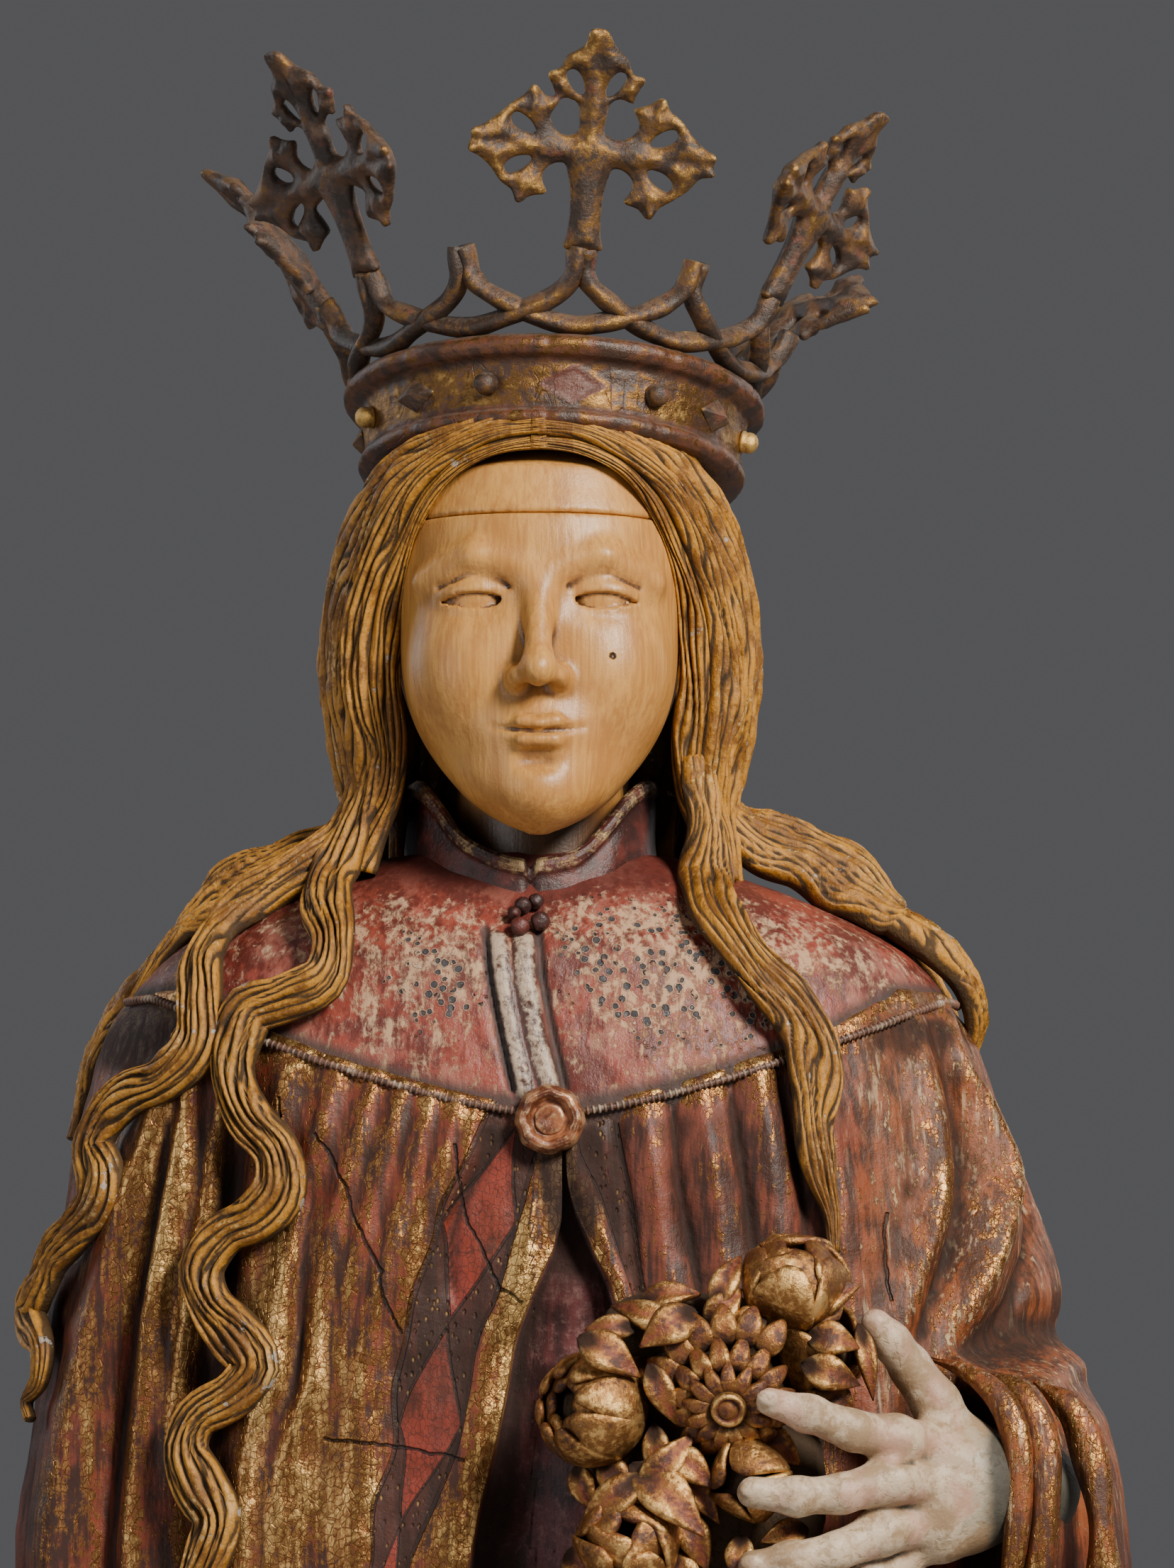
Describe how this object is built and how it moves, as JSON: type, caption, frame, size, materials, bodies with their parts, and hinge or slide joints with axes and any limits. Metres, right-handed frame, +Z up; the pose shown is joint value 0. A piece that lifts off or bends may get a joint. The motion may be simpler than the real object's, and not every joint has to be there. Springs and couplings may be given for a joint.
{
  "type": "saint statue",
  "caption": "Standing crowned female saint carved in wood, painted and gilded, with long wavy hair, a pleated mantle and a bunch of flowers in one hand, on a low base.",
  "frame": {"origin": "middle of the underside of the low base", "axes": "+Z up, the figure faces -Y, +X to the right of someone looking at its face"},
  "size_m": [0.44, 0.34, 1.3762],
  "materials": {
    "painted_wood": "worn red-brown glaze over gilding on carved limewood, flaked in places down to white ground",
    "gilded_wood": "worn gilding and dark bronze-brown varnish over red ground on carved limewood",
    "bare_wood": "bare honey-coloured limewood, satin, with fine upright grain and hairline cracks",
    "hair_paint": "worn ochre-yellow paint over carved strands with dark grooves",
    "base_wood": "dark stained wood, satin"
  },
  "bodies": {
    "root": {"low_base": "base_wood", "figure": "painted_wood", "crown_band_block": "gilded_wood", "crown_tracery": "gilded_wood", "fleuron_front": "gilded_wood", "fleuron_right_front": "gilded_wood", "fleuron_right_back": "gilded_wood", "fleuron_left_back": "gilded_wood", "fleuron_left_front": "gilded_wood", "pyramid_stud_1": "gilded_wood", "pyramid_stud_2": "gilded_wood", "pyramid_stud_3": "gilded_wood", "pyramid_stud_4": "gilded_wood", "pyramid_stud_5": "gilded_wood", "pyramid_stud_6": "gilded_wood", "round_boss_1": "gilded_wood", "round_boss_2": "gilded_wood", "round_boss_3": "gilded_wood", "round_boss_4": "gilded_wood", "round_boss_5": "gilded_wood", "round_boss_6": "gilded_wood", "round_boss_7": "gilded_wood"}
  },
  "joints": []
}
